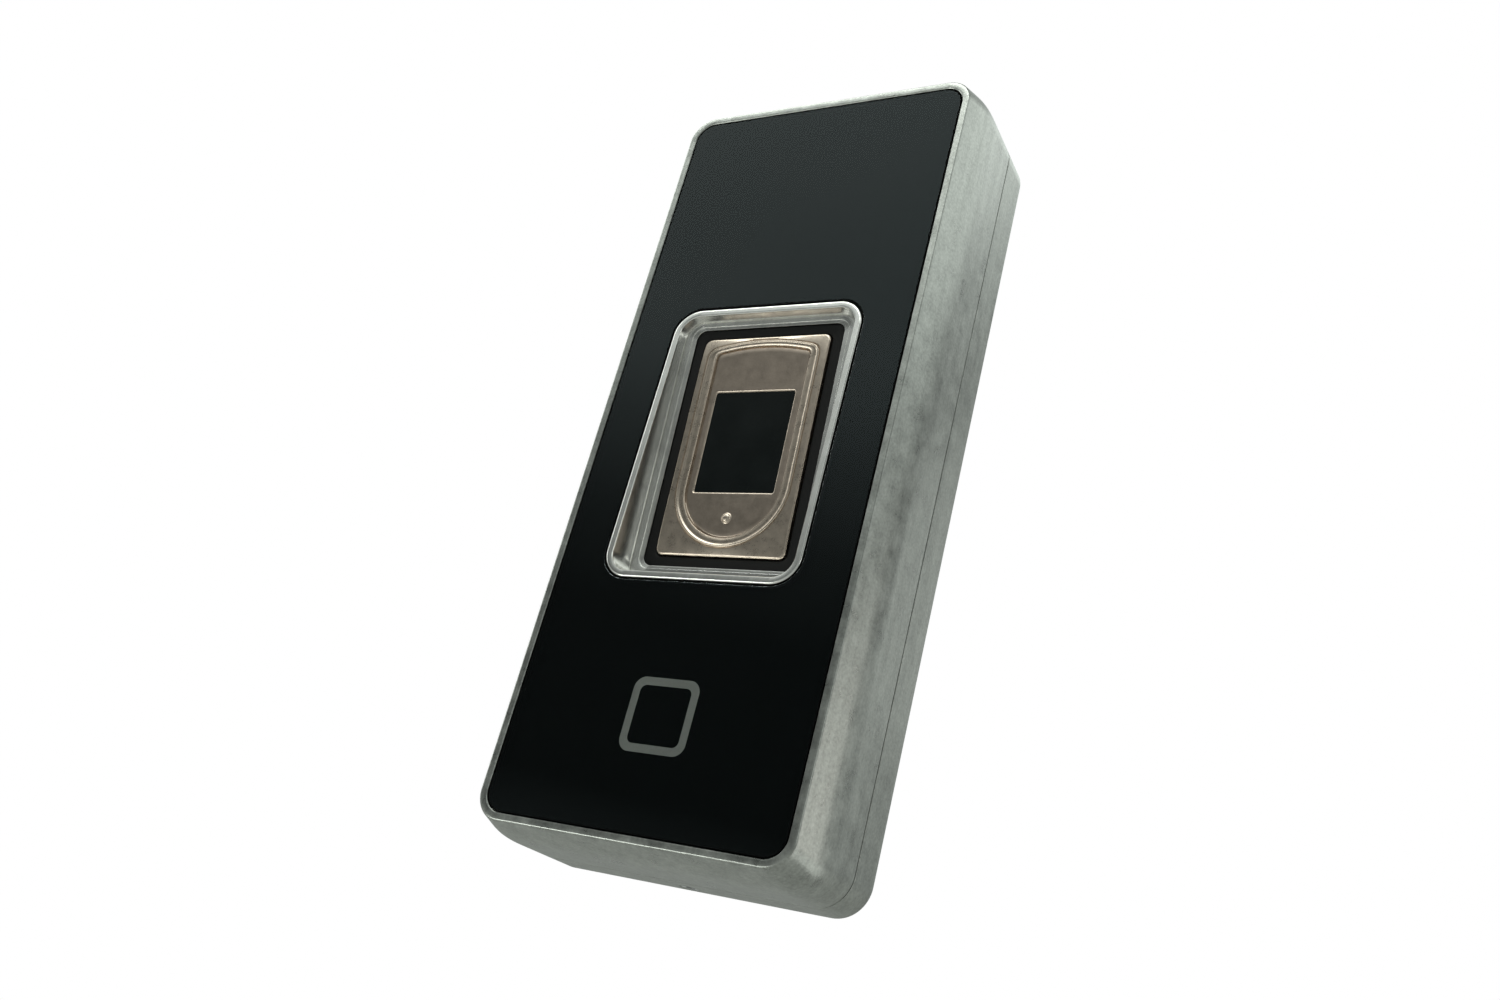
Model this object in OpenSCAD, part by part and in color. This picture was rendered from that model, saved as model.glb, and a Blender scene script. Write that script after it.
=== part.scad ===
// Wall-mounted access reader: card antenna behind a dark lens, finger sensor in a tilted well.
// Millimetres, +Z up, front faces -Y. The wall is the plane Y = 0, and the origin is on it,
// midway between the two wall screws. Depths are counted back from the front rim.

/* [Case] */
// Depth from the front rim to the wall
body_d = 20.8; // [20.8:0.1:24]
// Depth of the parting line between reader and wall cover
seam_d = 14.5; // [14.5:0.1:15]
// Gap at the parting line
seam_gap = 0.2; // [0.1:0.05:0.3]
// Width of the flat front rim
rim_w = 1.25; // [1:0.05:1.6]
// How far the sloped band grows outward
slope_w = 1.25; // [0.8:0.05:1.6]
// Depth at which the sloped band ends
slope_d = 5.6; // [4.5:0.1:6.5]
// Wall thickness
wall_t = 2; // [1.8:0.1:2.2]

/* [Lens] */
// Width of the lens
lens_w = 44.6; // [44:0.1:46]
// Height of the lens
lens_h = 112.3; // [111:0.1:114]
// Corner radius of the lens
lens_r = 2.8; // [2:0.1:3.2]
// Thickness of the lens
lens_t = 1.6; // [1.2:0.1:1.8]
// Side of the card symbol
icon_s = 10; // [8:0.5:11]
// Line width of the card symbol
icon_line = 1.1; // [0.8:0.1:1.4]
// Height of the card symbol's centre
icon_z = -40.8; // [-42:0.1:-39]

/* [Finger sensor] */
// Width of the ring
ring_w = 30.4; // [30:0.1:31]
// Height of the ring
ring_h = 42.8; // [42.4:0.1:43.4]
// Height of the ring's centre
ring_z = -1.05; // [-2:0.05:0]
// Width of the ring's flat rim
ring_rim = 1; // [0.8:0.1:1.2]
// Width of the well's opening
well_w = 24; // [23.6:0.1:24.2]
// Height of the well's opening
well_h = 36.6; // [36.2:0.1:36.8]
// Depth of the ledge at the sensor's centre
well_d = 2.84; // [2.6:0.02:3]
// Backward tilt of the sensor, its lower end deeper
sensor_tilt = 4.4; // [3.5:0.1:4.6]
// Width of the sensor's metal frame
sensor_w = 20.4; // [20:0.1:20.6]
// Height of the sensor's metal frame
sensor_h = 33.4; // [33:0.1:33.6]
// Width of the sensing window
window_w = 12.7; // [12:0.1:13]
// Height of the sensing window
window_h = 15.3; // [15:0.1:16]

/* [Wall fixing] */
// Distance between the two wall screws
wall_pitch = 83.5; // [80:0.5:86]
// Diameter of the wall screw holes
wall_hole = 4.2; // [3.5:0.1:4.5]
// Bore of the cable grommet
cable_bore = 6.4; // [5:0.1:8]

/* [Hidden] */
$fn = 48;

eps = 0.01;
fit = 0.15;                                    // clearance round the lens and the ring
full_grow = rim_w + slope_w + 0.1;             // from the lens edge to the straight walls
case_w = lens_w + 2 * full_grow;
case_h = lens_h + 2 * full_grow;
case_r = lens_r + 1.9;
top_z = case_h / 2;
cavity_w = case_w - 2 * wall_t;
cavity_h = case_h - 2 * wall_t;
cavity_r = case_r - wall_t;
reader_back = seam_d - seam_gap / 2;           // depth of the reader's rear face
cover_front = seam_d + seam_gap / 2;           // depth of the wall cover's front face

// growth beyond the lens, depth and corner radius of the sloped band
band = [
    [rim_w, 0, lens_r + 1.1],
    [rim_w + 0.78 * slope_w, 0.7 * slope_d, lens_r + 1.5],
    [rim_w + slope_w, slope_d, lens_r + 1.8],
    [full_grow, slope_d + 2.6, case_r]
];

lens_front = 0.1;                              // the lens sits just below the rim
print_t = 0.12;
tape_t = 0.2;
lens_back = lens_front + lens_t;
tape_d = lens_back + print_t;
seat_d = tape_d + tape_t;                      // depth of the seat under the tape
seat_t = 1.5;                                  // thickness of the seat
seat_w = 2.5;                                  // how far the seat reaches in under the lens

ring_r = 4;                                    // corner radius of the ring
flange_w = 34;
flange_h = 46.4;
flange_t = 1;
clamp_d = 7.6;                                 // depth of the clamp plate's front
clamp_t = 0.8;
ring_boss_x = 14.6;
ring_boss_z = 20.8;
pocket_w = 26.8;                               // pocket behind the ledge
pocket_h = 38.6;
pocket_z = -0.3;                               // pocket's centre below the sensor's
ledge_t = 0.8;                                 // thickness of the ledge
bezel_proud = 0.24;                            // bezel's face in front of the ledge
die_d = 0.28;                                  // sensing face behind the ledge's face
bezel_back = 1.66;
sensor_z = -0.5;                               // height of the sensor's centre

board_d = 9.6;                                 // depth of the main board's front
board_t = 1.2;
board_w = 44;
board_h = 98;
board_back = board_d + board_t;
post_x = 19.8;
post_z = 45.5;
plate_d = 13.2;                                // depth of the rear plate's front
plate_t = 1.2;
corner_x = 19.6;
corner_z = 53.4;

coil_z = -40;
coil_w = 33;
coil_h = 25;
carrier_d = 5.1;
guide_s = 11.4;

hook_x = 12;                                   // the two hooks of the wall cover
hook_w = 8;
plunger_x = 12;
plunger_z = -31;
plunger_out = 1.5;                             // how far the plunger stands out of the back
header_z = -22;
floor_t = 2;                                   // thickness of the wall cover's floor
lock_y = -2;                                   // line of the lock screw
lug_low = -top_z + 4.35;                       // underside of the tongue that it locks
lug_t = 1.5;
boss_top = -top_z + 4;

// ---- helpers --------------------------------------------------------------------------

// rounded rectangle made of true arcs
module rounded(w, h, r) {
    square([w - 2 * r, h], center = true);
    square([w, h - 2 * r], center = true);
    for (x = [-1, 1], z = [-1, 1])
        translate([x * (w / 2 - r), z * (h / 2 - r)]) circle(r);
}

// stands a flat outline up so that it runs back from depth d by t
module at_depth(d, t) {
    translate([0, d + t - body_d, 0]) rotate([90, 0, 0]) linear_extrude(t) children();
}

module slab(w, h, r, d, t, x = 0, z = 0) {
    translate([x, 0, z]) at_depth(d, t) rounded(w, h, r);
}

// round bar along the depth
module bar(dia, d, t, x, z) {
    translate([x, d + t - body_d, z]) rotate([90, 0, 0]) cylinder(d = dia, h = t);
}

module box(w, h, d, t, x, z) {
    translate([x - w / 2, d - body_d, z - h / 2]) cube([w, t, h]);
}

// the four corners of a rectangle
module corners(x, z, zc = 0) {
    for (i = [-1, 1], k = [-1, 1])
        translate([i * x, 0, zc + k * z]) children();
}

// the sensor's own frame: its face tilted, depths counted from the ledge
module tilted() {
    translate([0, well_d - body_d, sensor_z]) rotate([sensor_tilt, 0, 0])
        translate([0, body_d, 0]) children();
}

// pan-head screw driven forwards, with its head behind depth d
module screw(dia, len, d, head, head_t) {
    bar(dia, d - len, len, 0, 0);
    difference() {
        bar(head, d, head_t, 0, 0);
        box(head * 0.62, dia * 0.28, d + head_t * 0.45, head_t, 0, 0);
        box(dia * 0.28, head * 0.62, d + head_t * 0.45, head_t, 0, 0);
    }
}

// the U-shaped bead's outline, inset by o: straight sides, full round foot, shallow arched top
// with softened corners
module u_outline(o) {
    foot_r = 9 - o;
    foot_z = -6.4;
    arch_r = 32.5;
    arch_top = 16.05;
    intersection() {
        union() {
            translate([0, foot_z]) circle(foot_r, $fn = 96);
            translate([-foot_r, foot_z]) square([2 * foot_r, 24]);
        }
        translate([0, arch_top - arch_r]) circle(arch_r - o, $fn = 180);
        rounded(2 * foot_r, 2 * (arch_top - o), 3 - o / 2);
    }
}

// opening for the ring in the layers of the lens
module ring_hole() {
    slab(ring_w + 2 * fit, ring_h + 2 * fit, ring_r + fit, 0, 4, 0, ring_z);
}

// ---- case -----------------------------------------------------------------------------

module case_front() {
    for (i = [0 : len(band) - 2]) hull() {
        for (k = [i, i + 1])
            slab(lens_w + 2 * band[k][0], lens_h + 2 * band[k][0], band[k][2], band[k][1], eps, $fn = 32);
    }
    straight_d = band[len(band) - 1][1];
    slab(case_w, case_h, case_r, straight_d, reader_back - straight_d);
}

module front_housing() {
    bead_t = 1.4;                              // metal left behind the hook groove
    groove_t = 2.4;
    color("silver") difference() {
        union() {
            difference() {
                case_front();
                slab(lens_w + 2 * fit, lens_h + 2 * fit, lens_r + fit, -1, seat_d + 1);
                slab(lens_w - 2 * seat_w, lens_h - 2 * seat_w, 2.5, 0, seat_d + seat_t + 1);
                slab(cavity_w, cavity_h, cavity_r, seat_d + seat_t, reader_back);
            }
            corners(post_x, post_z) {
                bar(4.4, seat_d + seat_t, board_d - seat_d - seat_t, 0, 0);
            }
            for (i = [-1, 1], k = [-1, 1]) {
                box(2.6, 1.4, seat_d + seat_t, board_d - seat_d - seat_t, i * (post_x + 2), k * post_z);
                box(2.6, 1.4, seat_d + seat_t, plate_d - seat_d - seat_t, i * (corner_x + 2), k * corner_z);
                box(1.4, 2.4, seat_d + seat_t, plate_d - seat_d - seat_t, i * corner_x, k * (corner_z + 2.4));
            }
            corners(corner_x, corner_z) bar(5, seat_d + seat_t, plate_d - seat_d - seat_t, 0, 0);
            lock_lug();
        }
        corners(post_x, post_z) bar(1.7, board_d - 4.4, 5, 0, 0);
        corners(corner_x, corner_z) bar(1.7, plate_d - 4.4, 5, 0, 0);
        for (i = [-1, 1])
            box(hook_w + 1, 2.4, reader_back - bead_t - groove_t, groove_t, i * hook_x, top_z - 2);
        translate([0, lock_y, lug_low - 1]) cylinder(d = 2.4, h = lug_t + 2);
    }
}

// tongue on the lower wall that reaches back into the wall cover
module lock_lug() {
    neck_t = 2.2;
    neck_y = reader_back - neck_t - body_d;
    wall_z = -top_z + wall_t - 0.5;
    translate([-6, neck_y, lug_low]) cube([12, -0.4 - neck_y, lug_t]);
    translate([-6, neck_y, wall_z]) cube([12, neck_t, lug_low + 0.5 - wall_z]);
}

module lens() {
    color([0.1, 0.1, 0.11, 0.5]) difference() {
        slab(lens_w, lens_h, lens_r, lens_front, lens_t);
        ring_hole();
    }
}

module icon_outline() {
    difference() {
        rounded(icon_s, icon_s, 1.7);
        rounded(icon_s - 2 * icon_line, icon_s - 2 * icon_line, 0.9);
    }
}

module lens_print() {
    color([0.03, 0.03, 0.035]) difference() {
        slab(lens_w, lens_h, lens_r, lens_back, print_t);
        ring_hole();
        translate([0, 0, icon_z]) at_depth(0, 4) icon_outline();
    }
}

module card_icon() {
    color([0.62, 0.63, 0.64]) translate([0, 0, icon_z]) at_depth(lens_back, print_t) icon_outline();
}

module lens_adhesive() {
    color([0.12, 0.12, 0.12]) difference() {
        slab(lens_w - 0.6, lens_h - 0.6, lens_r, tape_d, tape_t);
        for (k = [-1, 1]) {
            near = ring_z + k * (flange_h / 2 + 0.6);
            far = k * (lens_h / 2 - seat_w - 0.4);
            slab(lens_w - 2 * seat_w - 0.8, abs(far - near), 2.5, 0, 4, 0, (near + far) / 2);
        }
        ring_hole();
    }
}

// ---- finger sensor ----------------------------------------------------------------------

module sensor_ring() {
    wall_in = ring_rim + 0.35;                 // the well's wall, inside the rim
    color([0.78, 0.78, 0.76]) difference() {
        union() {
            slab(ring_w, ring_h, ring_r, 0, 4, 0, ring_z);
            slab(flange_w, flange_h, ring_r, seat_d, flange_t, 0, ring_z);
            slab(ring_w - 1, ring_h - 1, 3.6, 3, clamp_d - 3, 0, ring_z);
            corners(ring_boss_x, ring_boss_z, ring_z) bar(3.8, seat_d, clamp_d - seat_d, 0, 0);
        }
        intersection() {
            slab(ring_w - 2 * wall_in, ring_h - 2 * wall_in, 2.7, -1, 9, 0, ring_z);
            tilted() slab(60, 60, 1, -8, 8);
        }
        slab(ring_w - 2 * ring_rim, ring_h - 2 * ring_rim, 3, -1, 1.25, 0, ring_z);
        tilted() slab(well_w, well_h, 1.4, -2, 6);
        tilted() slab(well_w + 1.5, well_h + 1, 1.8, -2, 2.15);
        tilted() slab(pocket_w, pocket_h, 2, ledge_t, 12, 0, pocket_z);
        corners(ring_boss_x, ring_boss_z, ring_z) bar(1.3, clamp_d - 3.5, 6, 0, 0);
    }
}

module sensor_gasket() {
    color([0.08, 0.08, 0.08]) tilted() difference() {
        union() {
            slab(well_w, well_h, 1.4, 0.3, 0.6);
            slab(pocket_w - 0.4, pocket_h - 0.4, 1.8, ledge_t, ledge_t, 0, pocket_z);
        }
        slab(sensor_w, sensor_h, 1, -1, 6);
    }
}

module sensor_bezel() {
    field_d = 0.3;                             // recess inside the bead
    color([0.72, 0.66, 0.6]) tilted() difference() {
        union() {
            slab(sensor_w, sensor_h, 1, -bezel_proud, bezel_back + bezel_proud);
            at_depth(-bezel_proud - 0.12, 0.2) u_outline(0);
            bar(1.4, -bezel_proud + 0.1, 0.3, 0, -11.1);
        }
        difference() {
            at_depth(-2, 2 - bezel_proud + field_d) u_outline(1.5);
            bar(1.4, -bezel_proud, 1, 0, -11.1);
        }
        slab(window_w, window_h, 0.4, -2, 6, 0, 0.4);
        slab(window_w + 1.4, window_h + 1.6, 0.4, die_d, 6, 0, 0.4);
    }
}

module sensor_die() {
    color([0.05, 0.06, 0.06]) tilted()
        slab(window_w + 1, window_h + 1.2, 0.3, die_d, bezel_back - die_d, 0, 0.4);
}

module sensor_board() {
    color([0.1, 0.3, 0.16]) tilted() {
        slab(22, 35, 1, bezel_back, 1);
        box(7, 7, bezel_back + 1, 0.9, 0, -3);
        box(12, 3, bezel_back + 1, 0.7, 0, 10);
    }
}

module sensor_wedge() {
    color([0.2, 0.2, 0.21]) difference() {
        tilted() difference() {
            slab(pocket_w - 0.4, pocket_h - 0.4, 1.8, bezel_back + 1, 8, 0, pocket_z);
            slab(17, 28, 2, 0, 14);
        }
        slab(60, 60, 1, clamp_d, 20);
    }
}

module sensor_clamp() {
    color([0.66, 0.68, 0.7]) difference() {
        slab(flange_w, flange_h, 3, clamp_d, clamp_t, 0, ring_z);
        slab(14, 10, 1, 0, 20, 0, 8);
        slab(12, 8, 1, 0, 20, 0, -12);
        corners(ring_boss_x, ring_boss_z, ring_z) bar(1.9, clamp_d - 1, 3, 0, 0);
    }
}

module sensor_screws() {
    color([0.55, 0.56, 0.58]) corners(ring_boss_x, ring_boss_z, ring_z)
        screw(1.3, 3.6, clamp_d + clamp_t, 2.8, 0.7);
}

// flat cable: from the sensor board back through the clamp, then up to its connector
module sensor_flex() {
    t = 0.2;
    w = 9;
    path = [[5.6, 10], [9, 11.5], [9, 27]];    // depth, height
    color([0.75, 0.45, 0.15]) translate([-w / 2, -body_d, 0]) rotate([90, 0, 90]) linear_extrude(w)
        for (i = [1 : len(path) - 1]) {
            run = path[i] - path[i - 1];
            translate(path[i - 1]) rotate(atan2(run[1], run[0]))
                translate([-t / 4, -t / 2]) square([norm(run) + t / 2, t]);
        }
}

module flex_connector() {
    color([0.85, 0.82, 0.74]) difference() {
        box(13, 4.5, board_d - 1.4, 1.4, 0, 28.4);
        box(9.4, 6, board_d - 0.9, 0.6, 0, 25);
    }
}

// ---- card antenna -----------------------------------------------------------------------

module antenna_coil() {
    color([0.72, 0.38, 0.18]) {
        difference() {
            slab(coil_w, coil_h, 5, carrier_d - 2.7, 2.2, 0, coil_z);
            slab(coil_w - 5.2, coil_h - 5.2, 2.6, 0, 9, 0, coil_z);
        }
        for (x = [-1.2, 1.2]) bar(0.4, carrier_d - 0.6, board_d - carrier_d + 0.6, x, coil_z + 11.4);
    }
}

module ferrite_sheet() {
    color([0.2, 0.2, 0.22]) difference() {
        slab(coil_w + 0.6, coil_h + 0.6, 4, carrier_d - 0.5, 0.5, 0, coil_z);
        slab(guide_s + 0.6, guide_s + 0.6, 1.8, 0, 9, 0, icon_z);
        box(4, 4, 0, 9, 0, coil_z + 12.4);
    }
}

module coil_carrier() {
    color([0.86, 0.86, 0.83]) {
        difference() {
            slab(coil_w + 1.6, coil_h + 1.6, 4, carrier_d, 1, 0, coil_z);
            slab(guide_s + 0.6, guide_s + 0.6, 1.8, 0, 9, 0, icon_z);
            box(4, 4, 0, 9, 0, coil_z + 12.4);
        }
        corners(15.5, 7.5, coil_z) bar(3, carrier_d + 1, board_d - carrier_d - 1, 0, 0);
    }
}

module light_guide() {
    color([0.85, 0.9, 0.95, 0.6]) {
        slab(guide_s, guide_s, 1.6, tape_d + 0.1, board_d - 1.3 - tape_d, 0, icon_z);
    }
}

module icon_led() {
    color([0.95, 0.95, 0.85]) box(3, 2.8, board_d - 0.9, 0.9, 0, icon_z);
}

// ---- main board -------------------------------------------------------------------------

module main_board() {
    color([0.08, 0.28, 0.15]) difference() {
        slab(board_w, board_h, 1, board_d, board_t);
        corners(post_x, post_z) bar(2.3, board_d - 1, 4, 0, 0);
    }
}

module board_chips() {
    chips = [                                  // width, height, thickness, x, z
        [12, 12, 1.4, 9, 38],
        [6, 5, 1, 12, 47.2],
        [6, 6, 0.9, -10, -33],
        [6.6, 6.6, 2.8, -3.5, 45],
        [3.2, 2.5, 0.8, 9, -31.5]
    ];
    color([0.13, 0.13, 0.14]) for (c = chips) box(c[0], c[1], board_d - c[2], c[2], c[3], c[4]);
}

module capacitors() {
    color([0.75, 0.76, 0.78]) for (x = [-1, 1]) {
        bar(6.3, board_d - 5.6, 5.6, x * 16.5, 27);
        box(6.6, 6.6, board_d - 0.4, 0.4, x * 16.5, 27);
    }
}

module buzzer() {
    color([0.1, 0.1, 0.1]) difference() {
        bar(12, board_d - 5, 5, -11, 37);
        bar(2.4, board_d - 6, 2.5, -11, 37);
    }
}

module board_screws() {
    color([0.6, 0.61, 0.63]) corners(post_x, post_z) screw(1.7, 5, board_back, 3.6, 1.2);
}

module wire_header() {
    color([0.9, 0.89, 0.84]) difference() {
        box(18.4, 6, board_back, 4.8, 0, header_z);
        box(16.8, 4.4, board_back + 1.2, 5, 0, header_z);
    }
}

module header_pins() {
    pitch = 2;
    color([0.85, 0.72, 0.35]) for (i = [-3.5 : 3.5])
        box(0.5, 0.5, board_back + 1.2, 3, i * pitch, header_z);
}

// ---- tamper switch ------------------------------------------------------------------------

module tamper_switch() {
    color([0.2, 0.2, 0.22]) {
        box(6, 6, board_back, 0.8, plunger_x, plunger_z);
        bar(4.6, board_back + 0.8, 0.4, plunger_x, plunger_z);
    }
}

spring_low = board_back + 1.2;                 // where the spring stands on the switch
collar_d = body_d - 4.9;                       // depth of the plunger's collar
spring_turns = 4;
spring_wire = 0.36;
spring_r = 1.9;
spring_steps = 20;

// one ring of the wire's surface at step i
function spring_ring(i) =
    let (
        a = 360 * i / spring_steps,
        rise = (collar_d - spring_low - spring_wire) / (spring_turns * spring_steps),
        y = spring_low + spring_wire / 2 + rise * i - body_d
    )
    [for (k = [0 : 7])
        let (b = 45 * k, r = spring_r + spring_wire / 2 * cos(b))
        [plunger_x + r * cos(a), y + spring_wire / 2 * sin(b), plunger_z + r * sin(a)]];

module tamper_spring() {
    rings = spring_turns * spring_steps;
    points = [for (i = [0 : rings]) each spring_ring(i)];
    sides = [for (i = [0 : rings - 1], k = [0 : 7])
        [8 * i + k, 8 * i + (k + 1) % 8, 8 * (i + 1) + (k + 1) % 8, 8 * (i + 1) + k]];
    ends = [[for (k = [7 : -1 : 0]) k], [for (k = [0 : 7]) 8 * rings + k]];
    color([0.7, 0.71, 0.73]) polyhedron(points, concat(sides, ends));
}

module tamper_plunger() {
    color([0.93, 0.93, 0.9]) {
        bar(2.6, collar_d, body_d + plunger_out - 0.6 - collar_d, plunger_x, plunger_z);
        translate([plunger_x, plunger_out - 0.6, plunger_z]) rotate([-90, 0, 0])
            cylinder(d1 = 2.6, d2 = 1.6, h = 0.6);
        bar(4.8, collar_d, 0.8, plunger_x, plunger_z);
        bar(2.4, collar_d - 1.3, 1.3, plunger_x, plunger_z);
    }
}

// ---- back ---------------------------------------------------------------------------------

module rear_plate() {
    tube_end = body_d - 3;
    color([0.16, 0.16, 0.17]) difference() {
        union() {
            slab(cavity_w - 0.4, cavity_h - 0.4, cavity_r - 0.2, plate_d, plate_t);
            bar(8, plate_d, tube_end - plate_d, plunger_x, plunger_z);
        }
        for (i = [-1, 1]) box(hook_w + 1.4, 6, plate_d - 1, 4, i * hook_x, top_z - 1.9);
        box(19.2, 6.8, plate_d - 1, 4, 0, header_z);
        box(13, 8, plate_d - 1, 4, 0, -top_z + 3.4);
        bar(5.4, plate_d - 1, tube_end - 0.8 - plate_d + 1, plunger_x, plunger_z);
        bar(2.7, plate_d, 9, plunger_x, plunger_z);
        corners(corner_x, corner_z) bar(2.2, plate_d - 1, 4, 0, 0);
    }
}

module rear_screws() {
    color([0.6, 0.61, 0.63]) corners(corner_x, corner_z) screw(1.7, 4.6, plate_d + plate_t, 3.8, 1.1);
}

module wall_cover() {
    lip = 1;                                   // how far the hook's lip stands up
    hook_top = top_z - 2.3;
    hook_t = 1.3;
    hook_front = reader_back - 3.1;
    color("silver") difference() {
        union() {
            difference() {
                slab(case_w, case_h, case_r, cover_front, body_d - cover_front);
                slab(cavity_w, cavity_h, cavity_r, cover_front - 1, body_d - floor_t - cover_front + 1);
            }
            for (i = [-1, 1]) {
                box(hook_w, hook_t, hook_front, body_d - floor_t - hook_front, i * hook_x, hook_top - hook_t / 2);
                box(hook_w, hook_t + lip, hook_front, 0.85, i * hook_x, hook_top + lip - (hook_t + lip) / 2);
                box(hook_w, 3.2, cover_front + 0.6, body_d - cover_front - 0.6, i * hook_x, hook_top + 0.3);
            }
            lock_boss();
            bar(20, body_d - floor_t - 0.6, 0.6, 0, 0);
        }
        for (k = [-1, 1]) {
            bar(wall_hole, body_d - 4, 8, 0, k * wall_pitch / 2);
            translate([0, 0, k * wall_pitch / 2]) translate([0, -floor_t - eps, 0]) rotate([-90, 0, 0])
                cylinder(d1 = wall_hole + 3, d2 = wall_hole, h = 1.2);
        }
        bar(14, body_d - 4, 8, 0, 0);
        bar(5.4, body_d - 4, 8, plunger_x, plunger_z);
        translate([0, lock_y, -top_z - 1]) cylinder(d = 3, h = 8);
        translate([-6.5, -floor_t - 1, boss_top]) cube([13, floor_t + 2, 2.6]);
    }
}

// thickened lower wall that the lock screw runs in
module lock_boss() {
    translate([-5, cover_front - body_d, -top_z + 1]) cube([10, body_d - cover_front - 1, boss_top + top_z - 1]);
}

module cable_grommet() {
    color([0.1, 0.1, 0.1]) difference() {
        union() {
            bar(14, body_d - floor_t - 0.6, floor_t + 0.6, 0, 0);
            bar(17, body_d - floor_t - 1.6, 1, 0, 0);
        }
        bar(cable_bore, body_d - 6, 8, 0, 0);
    }
}

// grub screw with a dog point, backed out until it is flush
module lock_screw() {
    thread_h = 2.2;
    point_h = 1.8;
    socket = 1.5;
    color([0.5, 0.51, 0.53]) translate([0, lock_y, -top_z + 0.1]) difference() {
        union() {
            cylinder(d = 2.9, h = thread_h);
            cylinder(d = 2, h = thread_h + point_h);
        }
        translate([0, 0, -1]) cylinder(d = socket, h = 1 + 1.4, $fn = 6);
    }
}

front_housing();
lens();
lens_print();
card_icon();
lens_adhesive();
sensor_ring();
sensor_gasket();
sensor_bezel();
sensor_die();
sensor_board();
sensor_wedge();
sensor_clamp();
sensor_screws();
sensor_flex();
flex_connector();
antenna_coil();
ferrite_sheet();
coil_carrier();
light_guide();
icon_led();
main_board();
board_chips();
capacitors();
buzzer();
board_screws();
wire_header();
header_pins();
tamper_switch();
tamper_spring();
tamper_plunger();
rear_plate();
rear_screws();
wall_cover();
cable_grommet();
lock_screw();
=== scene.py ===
"""Looks of a wall-mounted card and finger reader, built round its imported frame.

Sizes in the tables below are millimetres. Depths are counted back from the front rim, and x
and z are the frame's own, so a point in them lies at (x, depth - 20.8, z) in the frame.
"""

import math

import bmesh
import bpy
from mathutils import Matrix, Vector


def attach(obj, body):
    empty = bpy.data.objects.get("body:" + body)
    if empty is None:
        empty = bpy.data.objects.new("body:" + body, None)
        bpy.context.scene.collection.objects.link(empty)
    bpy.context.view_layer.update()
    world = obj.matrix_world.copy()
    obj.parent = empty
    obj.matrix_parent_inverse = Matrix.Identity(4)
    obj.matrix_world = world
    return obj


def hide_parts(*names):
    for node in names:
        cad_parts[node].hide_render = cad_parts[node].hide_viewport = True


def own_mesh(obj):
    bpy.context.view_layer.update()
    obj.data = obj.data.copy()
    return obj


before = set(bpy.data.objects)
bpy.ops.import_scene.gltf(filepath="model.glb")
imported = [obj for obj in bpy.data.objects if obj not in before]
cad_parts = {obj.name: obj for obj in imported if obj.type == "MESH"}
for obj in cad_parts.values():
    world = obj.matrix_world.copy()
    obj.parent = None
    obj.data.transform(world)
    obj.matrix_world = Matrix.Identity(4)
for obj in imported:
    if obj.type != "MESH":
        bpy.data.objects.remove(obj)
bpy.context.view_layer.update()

MM = 0.001
SCENE = bpy.context.scene

# Case, lens and ring. The ring's middle lies at RING_Z.
BODY_D = 20.8
LENS_W, LENS_H = 44.6, 112.3
RING_W, RING_H, RING_Z = 30.4, 42.8, -1.05
# The well's ledge: its depth at the sensor's middle, its tilt, and the height of that middle.
WELL_D, TILT, SENSOR_Z = 2.84, math.radians(4.4), -0.5
# The sensor's metal frame, its window and the sunk field between them. Depths count from the ledge.
BEZEL_W, BEZEL_H, BEZEL_FACE, BEZEL_BACK = 20.4, 33.4, -0.24, 1.66
WIN_W, WIN_H, WIN_Z = 12.7, 15.3, 0.4
FIELD_D, FIELD_INSET = BEZEL_FACE + 0.3, 1.72
# Screws stand in all four quarters, and hooks and wall screws in pairs. The clamp's screws count
# from the ring's middle. The lock's axis is upright.
BOARD_SCREW, COVER_SCREW, CLAMP_SCREW = (19.8, 45.5), (19.6, 53.4), (14.6, 20.8)
HOOK_X, WALL_SCREW_Z = 12, 41.75
PIN_X, PIN_Z = 12, -31
LOCK_D = BODY_D - 2


# ---- camera -------------------------------------------------------------------------------

def make_camera():
    """Stands below the reader and to its right, and looks up at it."""
    data = bpy.data.cameras.new("camera")
    data.lens, data.sensor_width = 31.77, 36.0
    data.shift_x, data.shift_y = 0.0083, 0.0288
    data.clip_start, data.clip_end = 0.005, 20
    cam = bpy.data.objects.new("camera", data)
    SCENE.collection.objects.link(cam)
    right = Vector((0.85820, 0.45123, 0.24470))
    up = Vector((-0.03111, -0.43011, 0.90224))
    turn = Matrix((right, up, right.cross(up))).transposed().to_4x4()
    cam.matrix_world = Matrix.Translation((0.09356, -0.15550, -0.07810)) @ turn
    SCENE.camera = cam


# ---- mesh helpers -------------------------------------------------------------------------

def at(x, d, z):
    """A point from x, depth and height in millimetres."""
    return Vector((x * MM, (d - BODY_D) * MM, z * MM))


def tilted(x, d, z):
    """A point in the sensor's own frame, its depth counted from the ledge."""
    y = d * math.cos(TILT) - z * math.sin(TILT)
    return at(x, WELL_D + y, SENSOR_Z + d * math.sin(TILT) + z * math.cos(TILT))


def ledge_depth(z):
    return WELL_D - (z - SENSOR_Z) * math.tan(TILT)


def outline(w, h, r, zc=0.0, n=14):
    """A rounded rectangle as (x, z) points, with n steps to a corner."""
    pts = []
    for i, k, start in ((1, 1, 0), (-1, 1, 90), (-1, -1, 180), (1, -1, 270)):
        for s in range(n + 1):
            a = math.radians(start + 90 * s / n)
            pts.append((i * (w / 2 - r) + r * math.cos(a), zc + k * (h / 2 - r) + r * math.sin(a)))
    return pts


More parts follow.
